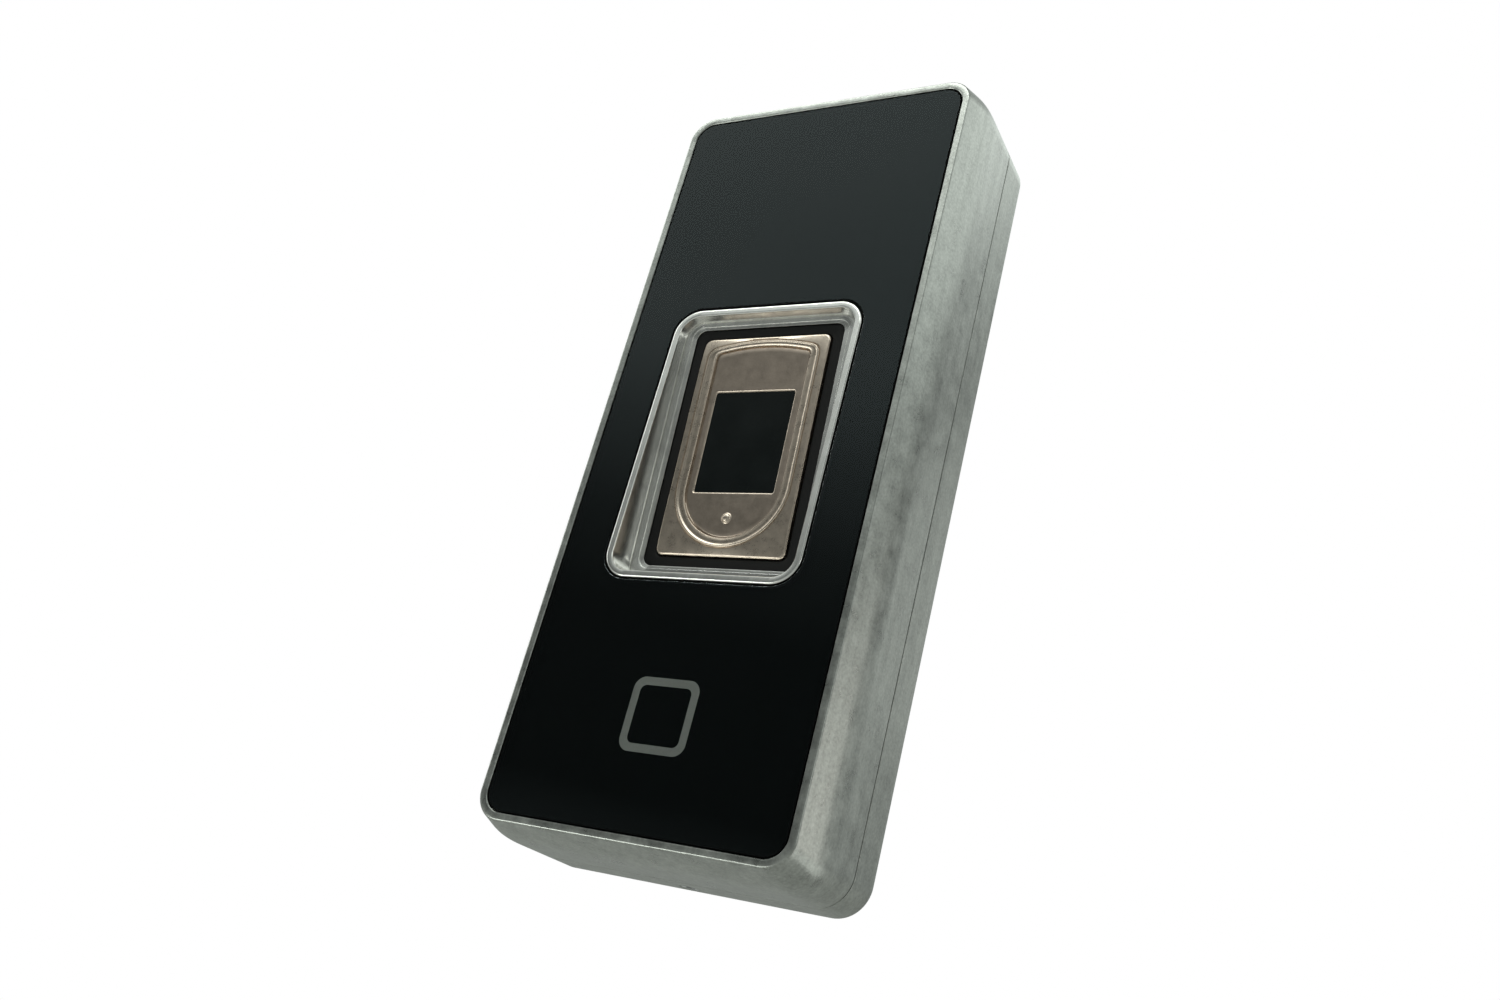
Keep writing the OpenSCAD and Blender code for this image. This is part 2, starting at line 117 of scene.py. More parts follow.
def level(pts, d):
    """A ring of (x, z) points, all set at one depth."""
    return [at(x, d, z) for x, z in pts]


def screw_places(x, z):
    return [(i * x, k * z) for i in (-1, 1) for k in (-1, 1)]


def loft(bm, rings, closed=True):
    """Skins a list of rings of points. An open one gets a flat cap at each end."""
    loops = [[bm.verts.new(p) for p in ring] for ring in rings]
    n = len(loops[0])
    for a, b in zip(loops, loops[1:] + (loops[:1] if closed else [])):
        for i in range(n):
            j = (i + 1) % n
            bm.faces.new((a[i], a[j], b[j], b[i]))
    if not closed:
        bm.faces.new(loops[0][::-1])
        bm.faces.new(loops[-1])


def turned(bm, profile, place, n=48, closed=False):
    """Turns (radius, distance) points round an axis. place(a, t, b) puts a point in the frame."""
    loops = []
    for r, t in profile:
        if r == 0:
            loops.append([bm.verts.new(place(0, t, 0))])
        else:
            angles = [2 * math.pi * i / n for i in range(n)]
            loops.append([bm.verts.new(place(r * math.cos(a), t, r * math.sin(a))) for a in angles])
    for a, b in zip(loops, loops[1:] + (loops[:1] if closed else [])):
        for i in range(n):
            j = (i + 1) % n
            if len(a) == 1:
                bm.faces.new((a[0], b[j], b[i]))
            elif len(b) == 1:
                bm.faces.new((a[i], a[j], b[0]))
            else:
                bm.faces.new((a[i], a[j], b[j], b[i]))
    if not closed:
        for end in (loops[0], loops[-1]):
            if len(end) > 1:
                bm.faces.new(end)


def through(x=0, z=0):
    """Places a turned profile round an axis that runs from front to back."""
    return lambda a, t, b: at(x + a, t, z + b)


def upright(d, z=0):
    """Places a turned profile round an upright axis at depth d."""
    return lambda a, t, b: at(a, d + b, z + t)


def prism(bm, pts, x0, x1, edge=0.15):
    """A (depth, z) polygon run from x0 to x1, with its edges rounded."""
    part = bmesh.new()
    loft(part, [[at(x, d, z) for d, z in pts] for x in (x0, x1)], closed=False)
    bmesh.ops.recalc_face_normals(part, faces=part.faces)
    bmesh.ops.bevel(part, geom=part.edges[:], offset=edge * MM, segments=3, profile=0.5,
                    affect="EDGES", clamp_overlap=True)
    add(bm, part)


def block(bm, x0, x1, d0, d1, z0, z1, edge=0.15):
    prism(bm, [(d0, z0), (d1, z0), (d1, z1), (d0, z1)], x0, x1, edge)


def add(bm, part):
    """Moves one mesh into another."""
    mesh = bpy.data.meshes.new("part")
    part.to_mesh(mesh)
    part.free()
    bm.from_mesh(mesh)
    bpy.data.meshes.remove(mesh)


def combined(bm, other, how):
    """The boolean of two closed meshes. It uses both of them up."""
    pair = []
    for b in (bm, other):
        bmesh.ops.recalc_face_normals(b, faces=b.faces)
        mesh = bpy.data.meshes.new("tool")
        b.to_mesh(mesh)
        b.free()
        ob = bpy.data.objects.new("tool", mesh)
        SCENE.collection.objects.link(ob)
        pair.append(ob)
    mod = pair[0].modifiers.new("cut", "BOOLEAN")
    mod.operation, mod.solver, mod.object, mod.use_self = how, "EXACT", pair[1], True
    result = bpy.data.meshes.new_from_object(pair[0].evaluated_get(bpy.context.evaluated_depsgraph_get()))
    for ob in pair:
        mesh = ob.data
        bpy.data.objects.remove(ob)
        bpy.data.meshes.remove(mesh)
    out = bmesh.new()
    out.from_mesh(result)
    bpy.data.meshes.remove(result)
    bmesh.ops.dissolve_degenerate(out, dist=1e-7, edges=out.edges)
    return out


def piece(name, bm, mat, body, nodes=(), sharp=32):
    """Makes a finished, smooth-shaded piece of the object from a mesh."""
    bmesh.ops.recalc_face_normals(bm, faces=bm.faces)
    mesh = bpy.data.meshes.new(name)
    bm.to_mesh(mesh)
    bm.free()
    mesh.polygons.foreach_set("use_smooth", [True] * len(mesh.polygons))
    mesh.set_sharp_from_angle(angle=math.radians(sharp))
    mesh.materials.append(mat)
    ob = bpy.data.objects.new(name, mesh)
    SCENE.collection.objects.link(ob)
    flat = ob.modifiers.new("flat faces", "WEIGHTED_NORMAL")
    flat.keep_sharp, flat.weight = True, 90
    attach(ob, body)
    if nodes:
        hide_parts(*nodes)
    return ob


# ---- materials ----------------------------------------------------------------------------

def new_node(tree, kind, **sockets):
    node = tree.nodes.new(kind)
    for key, value in sockets.items():
        node.inputs[key].default_value = value
    return node


def noise(tree, coords, scale, stretch=(1, 1, 1), detail=3.0):
    """A noise pattern; scale is in features per metre, and a stretch under 1 draws it out."""
    mapping = new_node(tree, "ShaderNodeMapping", Scale=stretch)
    tex = new_node(tree, "ShaderNodeTexNoise", Scale=scale, Detail=detail, Roughness=0.6)
    tree.links.new(coords, mapping.inputs["Vector"])
    tree.links.new(mapping.outputs["Vector"], tex.inputs["Vector"])
    return tex.outputs["Fac"]


def remap(tree, value, low, high, lo_in=0.3, hi_in=0.7):
    node = tree.nodes.new("ShaderNodeMapRange")
    for key, number in (("From Min", lo_in), ("From Max", hi_in), ("To Min", low), ("To Max", high)):
        node.inputs[key].default_value = number
    tree.links.new(value, node.inputs["Value"])
    return node.outputs["Result"]


def maths(tree, how, a, b):
    node = tree.nodes.new("ShaderNodeMath")
    node.operation = how
    for socket, value in zip(node.inputs, (a, b)):
        if isinstance(value, (int, float)):
            socket.default_value = value
        else:
            tree.links.new(value, socket)
    return node.outputs["Value"]


def weighted(tree, *patterns):
    """The sum of (pattern, weight) pairs."""
    terms = [maths(tree, "MULTIPLY", pattern, weight) for pattern, weight in patterns]
    total = terms[0]
    for term in terms[1:]:
        total = maths(tree, "ADD", total, term)
    return total


def two_tone(tree, factor, colour, vary):
    """Runs from a darker to a lighter shade of a colour, as factor goes from 0 to 1."""
    mix = tree.nodes.new("ShaderNodeMix")
    mix.data_type = "RGBA"
    mix.inputs["A"].default_value = tuple(c * (1 - vary) for c in colour) + (1,)
    mix.inputs["B"].default_value = tuple(min(1, c * (1 + vary)) for c in colour) + (1,)
    tree.links.new(factor, mix.inputs["Factor"])
    return mix.outputs["Result"]


def bumped(tree, height, strength, distance, below=None):
    """A normal bent by a height pattern, on top of the bumps below it."""
    node = new_node(tree, "ShaderNodeBump", Strength=strength, Distance=distance)
    tree.links.new(height, node.inputs["Height"])
    if below is not None:
        tree.links.new(below, node.inputs["Normal"])
    return node.outputs["Normal"]


def start_material(name):
    mat = bpy.data.materials.new(name)
    mat.use_nodes = True
    tree = mat.node_tree
    return mat, tree, tree.nodes["Principled BSDF"], tree.nodes.new("ShaderNodeTexCoord").outputs["Object"]


def surface(name, colour, rough=0.5, metal=0.0, vary=0.08, patch=90, grain=2200, stretch=(1, 1, 1),
            rough_vary=0.06, bump=0.25, depth=0.00003, **sockets):
    """A material whose colour, roughness and height vary by procedural noise."""
    mat, tree, shader, coords = start_material(name)
    fine = noise(tree, coords, grain, stretch)
    both = weighted(tree, (noise(tree, coords, patch, detail=4), 0.6), (fine, 0.4))
    tree.links.new(two_tone(tree, remap(tree, both, 0, 1), colour, vary), shader.inputs["Base Color"])
    tree.links.new(remap(tree, both, rough - rough_vary, rough + rough_vary), shader.inputs["Roughness"])
    tree.links.new(bumped(tree, fine, bump, depth), shader.inputs["Normal"])
    shader.inputs["Metallic"].default_value = metal
    for key, value in sockets.items():
        shader.inputs[key.replace("_", " ")].default_value = value
    return mat


def blasted(name, colour, rough, vary=0.3):
    """Blasted, handled metal: fine grain, soft mottling, faint streaks along its height, slight waves."""
    mat, tree, shader, coords = start_material(name)
    mottle = noise(tree, coords, 380, detail=6)
    grain = noise(tree, coords, 2600, detail=2)
    streak = noise(tree, coords, 700, (1, 1, 0.06))
    mixed = weighted(tree, (mottle, 0.4), (grain, 0.35), (streak, 0.25))
    shade = remap(tree, mixed, 0, 1, 0.35, 0.65)
    tree.links.new(two_tone(tree, shade, colour, vary), shader.inputs["Base Color"])
    tree.links.new(remap(tree, mottle, rough - 0.05, rough + 0.05), shader.inputs["Roughness"])
    waves = bumped(tree, noise(tree, coords, 60, (1, 1, 0.35), detail=2), 1.0, 0.00008)
    tree.links.new(bumped(tree, grain, 0.45, 0.00003, waves), shader.inputs["Normal"])
    shader.inputs["Metallic"].default_value = 1.0
    return mat


# Each surface: colour, roughness, metal, change of colour, patches and grain per metre, stretch
# of the grain, change of roughness, strength and depth of the grain.
LOOK = {
    "housing": blasted("housing_satin", (0.37, 0.385, 0.36), 0.31),
    "cover": blasted("cover_satin", (0.36, 0.375, 0.35), 0.33),
    "lens": surface("clear_acrylic", (0.97, 0.98, 0.98), 0.03, 0.0, 0.01, 120, 900, (1, 1, 1),
                    0.012, 0.01, 0.00001, Transmission_Weight=1.0, IOR=1.49,
                    Specular_Tint=(0.80, 0.96, 1.0, 1.0)),
    "ink": surface("black_print", (0.0012, 0.0018, 0.0017), 0.55, 0.0, 0.12, 150, 3000, bump=0.1,
                   Specular_IOR_Level=0.0),
    # Near-black edge of the lens: a dark ground edge on its walls, and painted shade on its eased edges.
    "lens_edge_and_painted_shade": surface("ground_edge_and_painted_shade", (0.002, 0.0025, 0.0025), 0.5, 0.0, 0.1, 300, 4000, bump=0.1,
                         Specular_IOR_Level=0.05),
    "icon": surface("grey_print", (0.30, 0.32, 0.295), 0.5, 0.0, 0.08, 300, 3000, bump=0.1,
                    Specular_IOR_Level=0.0),
    "tape": surface("foam_tape", (0.02, 0.02, 0.02), 0.9, 0.0, 0.2, 500, 4000, bump=0.5),
    "ring": surface("ring_satin", (0.80, 0.80, 0.77), 0.25, 1.0, 0.10, 300, 3000, (1, 1, 0.3),
                    0.03, 0.05, 0.00001),
    "gasket": surface("gasket_rubber", (0.008, 0.008, 0.008), 0.62, 0.0, 0.2, 200, 3500, bump=0.4,
                      Specular_IOR_Level=0.15),
    "bezel": surface("bezel_champagne", (0.56, 0.48, 0.40), 0.29, 1.0, 0.16, 700, 3800, (1, 1, 1),
                     0.04, 0.14, 0.00002),
    # Darker than the bezel: painted shade of the sunk field.
    "field": surface("bezel_field_painted_shade", (0.40, 0.335, 0.28), 0.34, 1.0, 0.12, 700, 3800, (1, 1, 1),
                     0.04, 0.2, 0.00002),
    "die": surface("sensor_glass", (0.004, 0.006, 0.006), 0.22, 0.0, 0.15, 180, 5000, bump=0.08,
                   depth=0.00001, Specular_IOR_Level=0.3),
    "board": surface("solder_mask", (0.02, 0.13, 0.06), 0.3, 0.0, 0.12, 200, 1800, bump=0.15),
    "plastic": surface("dark_moulding", (0.035, 0.036, 0.04), 0.48, 0.0, 0.12, 120, 3200, bump=0.5),
    "steel": surface("sheet_steel", (0.56, 0.57, 0.58), 0.32, 1.0, 0.07, 120, 2400, (1, 1, 0.15)),
    "screw": surface("zinc_plate", (0.62, 0.63, 0.64), 0.3, 1.0, 0.08, 400, 4000, bump=0.3),
    "flex": surface("polyimide", (0.5, 0.2, 0.03), 0.3, 0.0, 0.1, 300, 2500, bump=0.1),
    "ivory": surface("moulded_nylon", (0.72, 0.68, 0.55), 0.42, 0.0, 0.05, 200, 3200, bump=0.25),
    "copper": surface("enamelled_wire", (0.72, 0.32, 0.15), 0.3, 1.0, 0.12, 300, 5000, (1, 0.2, 1)),
    "ferrite": surface("ferrite_film", (0.045, 0.045, 0.05), 0.7, 0.0, 0.15, 200, 3500, bump=0.4),
    "white": surface("white_moulding", (0.78, 0.78, 0.75), 0.45, 0.0, 0.03, 150, 2800, bump=0.3),
    "guide": surface("light_guide", (0.92, 0.95, 0.97), 0.12, 0.0, 0.02, 200, 2500, bump=0.1,
                     Transmission_Weight=0.9, IOR=1.49),
    "led": surface("led_resin", (0.85, 0.78, 0.45), 0.3, 0.0, 0.05, 600, 4000, bump=0.1),
    "chip": surface("chip_epoxy", (0.022, 0.022, 0.024), 0.55, 0.0, 0.15, 400, 6000, bump=0.4),
    "can": surface("drawn_can", (0.74, 0.75, 0.76), 0.25, 1.0, 0.06, 300, 3500, (1, 0.1, 1)),
    "gold": surface("gold_flash", (0.90, 0.66, 0.25), 0.22, 1.0, 0.06, 500, 5000),
    "acetal": surface("acetal", (0.80, 0.80, 0.76), 0.35, 0.0, 0.03, 200, 3000, bump=0.15),
}

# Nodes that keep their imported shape, and the material of each.
CAD_LOOKS = {
    "lens_print": "ink", "card_icon": "icon", "lens_adhesive": "tape", "sensor_die": "die",
    "sensor_board": "board", "sensor_wedge": "plastic", "sensor_clamp": "steel", "sensor_screws": "screw",
    "sensor_flex": "flex", "flex_connector": "ivory", "antenna_coil": "copper", "ferrite_sheet": "ferrite",
    "coil_carrier": "white", "light_guide": "guide", "icon_led": "led", "main_board": "board",
    "board_chips": "chip", "capacitors": "can", "buzzer": "plastic", "tamper_switch": "plastic",
}


def dress_cad_nodes():
    for node, name in CAD_LOOKS.items():
        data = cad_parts[node].data
        data.materials.clear()
        data.materials.append(LOOK[name])


# ---- case ---------------------------------------------------------------------------------

def case_ring(grow, d, r):
    """A ring of points that stands grow outside the lens's edge."""
    return level(outline(LENS_W + 2 * grow, LENS_H + 2 * grow, r, n=16), d)


def make_housing():
    """Front half: rim, slope and side wall, then back inside; posts with ribs, and the lock's tongue."""
    bm = bmesh.new()
    profile = [
        (0.15, 2.02, 2.95), (0.15, 0.25, 2.95), (0.17, 0.13, 2.97), (0.26, 0.03, 3.04), (0.4, 0.0, 3.15),
        (0.97, 0.0, 3.65), (1.09, 0.02, 3.75), (1.2, 0.08, 3.83), (1.27, 0.18, 3.88), (1.32, 0.33, 3.92),
        (1.96, 2.9, 4.18), (2.12, 3.55, 4.27), (2.26, 4.2, 4.36), (2.38, 4.9, 4.45), (2.48, 5.7, 4.54),
        (2.55, 6.6, 4.61), (2.585, 7.5, 4.66), (2.6, 8.4, 4.7),
        (2.6, 14.3, 4.7), (2.58, 14.36, 4.68), (2.54, 14.39, 4.64), (2.48, 14.4, 4.58),
        (0.78, 14.4, 2.88), (0.66, 14.36, 2.76), (0.6, 14.24, 2.7),
        (0.6, 3.52, 2.7), (-2.5, 3.52, 2.5), (-2.5, 2.02, 2.5),
    ]
    loft(bm, [case_ring(*row) for row in profile])
    grooves = bmesh.new()
    for x in (-HOOK_X, HOOK_X):
        block(grooves, x - 4.5, x + 4.5, 10.6, 13.0, 54.6, 57.95, edge=0.2)
    bm = combined(bm, grooves, "DIFFERENCE")
    posts = [(place, 2.2, 9.6) for place in screw_places(*BOARD_SCREW)]
    posts += [(place, 2.5, 13.2) for place in screw_places(*COVER_SCREW)]
    for (x, z), r, end in posts:
        hole = [(0, end - 4.4), (0.85, end - 4.4), (0.85, end - 0.3), (1.05, end)]
        wall = [(r - 0.15, end), (r, end - 0.15), (r, 3.6), (r + 0.3, 3.4), (0, 3.4)]
        turned(bm, hole + wall, through(x, z), n=32)
        side = math.copysign(1, x)
        rib = sorted((x + side * r * 0.8, side * 23.1))
        block(bm, *rib, 3.45, end, z - 0.7, z + 0.7)
    lug = [(12.2, -57.2), (14.4, -57.2), (14.4, -54.4), (20.4, -54.4), (20.4, -52.9), (12.2, -52.9)]
    tongue, bore = bmesh.new(), bmesh.new()
    prism(tongue, lug, -6, 6, edge=0.2)
    turned(bore, [(1.2, -55.4), (1.2, -51.9)], upright(LOCK_D))
    add(bm, combined(tongue, bore, "DIFFERENCE"))
    piece("case_front", bm, LOOK["housing"], "reader", ["front_housing"])


def make_cover():
    """Rear half: a dish with a boss for the lock, screw and cable holes, and two hooks."""
    bm = bmesh.new()
    profile = [
        (2.1, 20.8, 4.2), (2.3, 20.77, 4.4), (2.46, 20.66, 4.56), (2.56, 20.5, 4.66), (2.6, 20.28, 4.7),
        (2.6, 14.7, 4.7), (2.58, 14.64, 4.68), (2.54, 14.61, 4.64), (2.48, 14.6, 4.58),
        (0.78, 14.6, 2.88), (0.66, 14.64, 2.76), (0.6, 14.76, 2.7),
        (0.6, 18.3, 2.7), (0.53, 18.55, 2.65), (0.35, 18.73, 2.5), (0.1, 18.8, 2.3),
    ]
    loft(bm, [case_ring(*row) for row in profile], closed=False)
    boss = bmesh.new()
    block(boss, -5, 5, 14.6, 19.8, -57.9, -54.75, edge=0.25)
    bm = combined(bm, boss, "UNION")
    tools = bmesh.new()
    sink = [(3.9, 17.8), (3.75, 18.75), (3.6, 18.85), (2.1, 20.0), (2.1, 20.65), (2.4, 20.95)]
    for z in (-WALL_SCREW_Z, WALL_SCREW_Z):
        turned(tools, sink, through(0, z), n=64)
    turned(tools, [(7, 16), (7, 20.7), (7.2, 21)], through(), n=80)
    turned(tools, [(2.7, 16), (2.7, 20.6), (3.0, 21)], through(PIN_X, PIN_Z), n=48)
    turned(tools, [(1.85, -59.1), (1.5, -58.6), (1.5, -53.5)], upright(LOCK_D), n=48)
    block(tools, -6.5, 6.5, 18.2, 21.5, -54.75, -52.15, edge=0.3)
    bm = combined(bm, tools, "DIFFERENCE")
    rim = [(7.0, 18.7), (7.0, 18.32), (7.12, 18.2), (9.8, 18.2), (10, 18.4), (10, 18.7)]
    turned(bm, rim, through(), n=80, closed=True)
    hook = [(11.3, 57.45), (11.3, 55.15), (18.7, 55.15), (18.7, 58.2), (15.2, 58.2), (15.2, 56.45),
            (12.15, 56.45), (12.15, 57.45)]
    for x in (-HOOK_X, HOOK_X):
        prism(bm, hook, x - 4, x + 4, edge=0.2)
    piece("case_back", bm, LOOK["cover"], "wall_base", ["wall_cover"])


def make_lens():
    """Clear window with eased edges, and an opening for the ring. Its back is bonded into the print. Its
    side walls are a near-black ground edge, and its eased edges take the same near-black colour as painted
    shade, a dark line for the shadowed gap round the ring.
    """
    bm = bmesh.new()
    rings = []
    for inset, d in ((0, 1.72), (0, 0.26), (0.05, 0.16), (0.14, 0.1)):
        rings.append(level(outline(LENS_W - 2 * inset, LENS_H - 2 * inset, 2.8 - inset, n=16), d))
    for out, d in ((0.4, 0.1), (0.3, 0.13), (0.2, 0.22), (0.15, 0.34), (0.15, 1.72)):
        rings.append(level(outline(RING_W + 2 * out, RING_H + 2 * out, 4 + out, RING_Z, n=16), d))
    loft(bm, rings)
    ob = piece("lens_window", bm, LOOK["lens"], "reader", ["lens"], sharp=50)
    ob.data.materials.append(LOOK["lens_edge_and_painted_shade"])
    # Faces that do not face the front get the near-black edge; on the eased edges this is painted shade, a
    # dark line for the gap's shadow.
    for face in ob.data.polygons:
        if abs(face.normal.y) < 0.95:
            face.material_index = 1


# ---- finger sensor ------------------------------------------------------------------------

def make_ring():
    """Metal ring: flange behind the lens, wall and rim, then down the well to its tilted ledge and back."""
    bm = bmesh.new()
    rings = []

    def straight(grow, d, r):
        rings.append(level(outline(RING_W + 2 * grow, RING_H + 2 * grow, r, RING_Z), d))

    def on_ledge(grow, up, r):
        pts = outline(RING_W + 2 * grow, RING_H + 2 * grow, r, RING_Z)
        rings.append([at(x, ledge_depth(z) - up, z) for x, z in pts])

    def in_tilt(w, h, r, d, zc=0.0):
        rings.append([tilted(x, d, z) for x, z in outline(w, h, r, zc)])

    for grow, d, r in ((-0.5, 7.6, 3.6), (-0.5, 3.02, 3.6), (1.8, 3.02, 4), (1.8, 2.02, 4), (0, 2.02, 4)):
        straight(grow, d, r)
    for grow, d in ((0, 0.34), (-0.02, 0.2), (-0.09, 0.09), (-0.2, 0.02), (-0.34, 0.0),
                    (-0.84, 0.0), (-0.94, 0.02), (-1.01, 0.09), (-1.04, 0.2), (-1.06, 0.34)):
        straight(grow, d, 4 + grow)
    for grow, up, r in ((-1.3, 0.34, 2.7), (-1.32, 0.16, 2.68), (-1.36, 0.06, 2.64),
                        (-1.39, -0.13, 2.61), (-1.47, -0.13, 2.53), (-1.5, 0.0, 2.5)):
        on_ledge(grow, up, r)
    for w, h, r, d in ((25.6, 37.7, 1.85, 0), (25.52, 37.62, 1.82, 0.02), (25.48, 37.58, 1.8, 0.13),
                       (25.4, 37.5, 1.78, 0.15), (24.3, 36.9, 1.55, 0.15), (24.1, 36.7, 1.45, 0.18),
                       (24.0, 36.6, 1.4, 0.28), (24.0, 36.6, 1.4, 0.8)):
        in_tilt(w, h, r, d)
    in_tilt(26.8, 38.6, 2, 0.8, -0.3)
    rings.append(level(outline(26.8, 38.6, 2, SENSOR_Z - 0.3), 7.6))
    loft(bm, rings)
    post = [(0, 4.1), (0.65, 4.1), (0.65, 7.4), (0.8, 7.6), (1.75, 7.6), (1.9, 7.45), (1.9, 2.6), (0, 2.6)]
    for x, z in screw_places(*CLAMP_SCREW):
        turned(bm, post, through(x, RING_Z + z), n=28)
    piece("well_ring", bm, LOOK["ring"], "reader", ["sensor_ring"])


def make_gasket():
    bm = bmesh.new()
    rows = [(23.9, 36.5, 1.35, 0.78), (23.9, 36.5, 1.35, 0.5), (23.8, 36.4, 1.3, 0.38),
            (23.5, 36.1, 1.15, 0.3), (21.3, 34.3, 1.1, 0.3), (20.9, 33.9, 1.05, 0.36),
            (20.62, 33.62, 1.0, 0.52), (20.5, 33.5, 1.0, 0.8), (20.5, 33.5, 1.0, 1.6)]
    rings = [[tilted(x, d, z) for x, z in outline(w, h, r)] for w, h, r, d in rows]
    for d in (1.6, 0.82):
        rings.append([tilted(x, d, z) for x, z in outline(26.4, 38.2, 1.8, -0.3)])
    loft(bm, rings)
    piece("well_gasket", bm, LOOK["gasket"], "reader", ["sensor_gasket"])


def reach(gap, a):
    """Distance from the window's centre, at angle a, to the outline on which gap(x, z) is zero."""
    c, s = math.cos(a), math.sin(a)
    low, high = 0.0, 40.0
    for _ in range(44):
        mid = (low + high) / 2
        low, high = (mid, high) if gap(mid * c, WIN_Z + mid * s) < 0 else (low, mid)
    return low


def box_reach(w, h, r, zc, a):
    """Reach of a rounded rectangle."""
    def gap(x, z):
        qx, qz = abs(x) - (w / 2 - r), abs(z - zc) - (h / 2 - r)
        return math.hypot(max(qx, 0), max(qz, 0)) + min(max(qx, qz), 0) - r
    return reach(gap, a)


def bead_reach(inset, a):
    """Reach of the bead's U: straight sides, a round foot and a shallow arch, moved in by inset."""
    foot_z, foot_r = -6.4, 9.0 - inset
    arch_r, arch_top = 32.5, 16.05
    soft = max(1.4 - 0.5 * inset, 0.5)

    def gap(x, z):
        side = abs(x) - foot_r if z > foot_z else math.hypot(x, z - foot_z) - foot_r
        arch = math.hypot(x, z - (arch_top - arch_r)) - (arch_r - 0.7 * inset)
        return max(side, arch) + max(soft - abs(side - arch), 0) ** 2 / (4 * soft)
    return reach(gap, a)


def crown(x, z):
    """How far the border falls away towards the frame's edges."""
    return 0.012 * max(0, abs(z) - 12) ** 2 + 0.012 * max(0, abs(x) - 7.5) ** 2


def curl(x, z):
    """Depth added to the sunk field, which sinks beneath the window and comes forward above it."""
    beyond = max(0, abs(z - WIN_Z) - 8.2)
    return -math.copysign(0.0028 * beyond ** 2, z - WIN_Z)


def make_bezel():
    """Metal frame of the sensor: border, raised bead, sunk field, window bevel and index bump. The sunk
    field's darker colour is painted shade.
    """
    bm = bmesh.new()
    steps = 640
    even = [2 * math.pi * i / steps for i in range(steps)]
    corners = [math.atan2(k * WIN_H, i * WIN_W) % (2 * math.pi) for i in (-1, 1) for k in (-1, 1)]
    angles = sorted({round(a, 6) for a in even + corners})
    rings = []

    def box(w, h, r, zc=0.0):
        return [box_reach(w, h, r, zc, a) for a in angles]

    def bead(inset):
        return [bead_reach(inset, a) for a in angles]

    def add_row(reaches, d, shape=None):
        ring = []
        for a, far in zip(angles, reaches):
            x, z = far * math.cos(a), WIN_Z + far * math.sin(a)
            ring.append(tilted(x, d + shape(x, z) if shape else d, z))
        rings.append(ring)

    add_row(box(BEZEL_W, BEZEL_H, 1.0), BEZEL_BACK)
    for inset, up in ((0.0, -0.22), (0.03, -0.12), (0.1, -0.05), (0.22, 0.0), (0.34, 0.0)):
        add_row(box(BEZEL_W - 2 * inset, BEZEL_H - 2 * inset, 1.0 - inset / 2), BEZEL_FACE - up, crown)
    for inset, up in (
            (-0.3, 0.0), (-0.18, -0.01), (-0.12, -0.16), (-0.04, -0.18), (0.02, -0.02), (0.1, 0.08),
            (0.2, 0.1), (0.3, 0.07), (0.4, -0.03), (0.5, -0.06), (1.06, -0.06), (1.16, -0.02),
            (1.24, 0.0), (1.31, -0.04), (1.36, -0.2), (1.42, -0.4)):
        add_row(bead(inset), BEZEL_FACE - up)
    # The field's faces get a darker colour, which is painted shade of the recess.
    field_start = len(rings)    # from here to field_end the faces are the darker field
    for inset, up in ((1.52, -0.42), (1.62, -0.33), (FIELD_INSET, -0.3)):
        add_row(bead(inset), BEZEL_FACE - up, curl)
    foot, window = bead(FIELD_INSET), box(WIN_W + 0.7, WIN_H + 0.7, 0.5, WIN_Z)
    for mix in (0.1, 0.35, 0.65):
        add_row([f * (1 - mix) + w * mix for f, w in zip(foot, window)], FIELD_D, curl)
    field_end = len(rings) + 1
    for grow, down, r in ((0.34, 0.0, 0.5), (0.22, 0.0, 0.42), (0.16, 0.02, 0.38), (0.05, 0.12, 0.32),
                          (0.0, 0.2, 0.3), (0.0, BEZEL_BACK - FIELD_D, 0.3)):
        add_row(box(WIN_W + 2 * grow, WIN_H + 2 * grow, r, WIN_Z), FIELD_D + down)
    loft(bm, rings)
    bump_z = -11.1
    dome = [(0, -0.34), (0.22, -0.33), (0.42, -0.28), (0.56, -0.2), (0.64, -0.1), (0.7, -0.02),
            (0.82, 0.01), (0.82, 0.3), (0, 0.3)]
    turned(bm, [(r, FIELD_D + down) for r, down in dome], lambda a, t, b: tilted(a, t, bump_z + b), n=40)
    ob = piece("sensor_frame", bm, LOOK["bezel"], "reader", ["sensor_bezel"], sharp=60)
    ob.data.materials.append(LOOK["field"])
    # These faces get the darker field colour, painted shade.
    for face in ob.data.polygons:
        if field_start <= face.index // len(angles) < field_end:
            face.material_index = 1


# ---- back and small parts -----------------------------------------------------------------

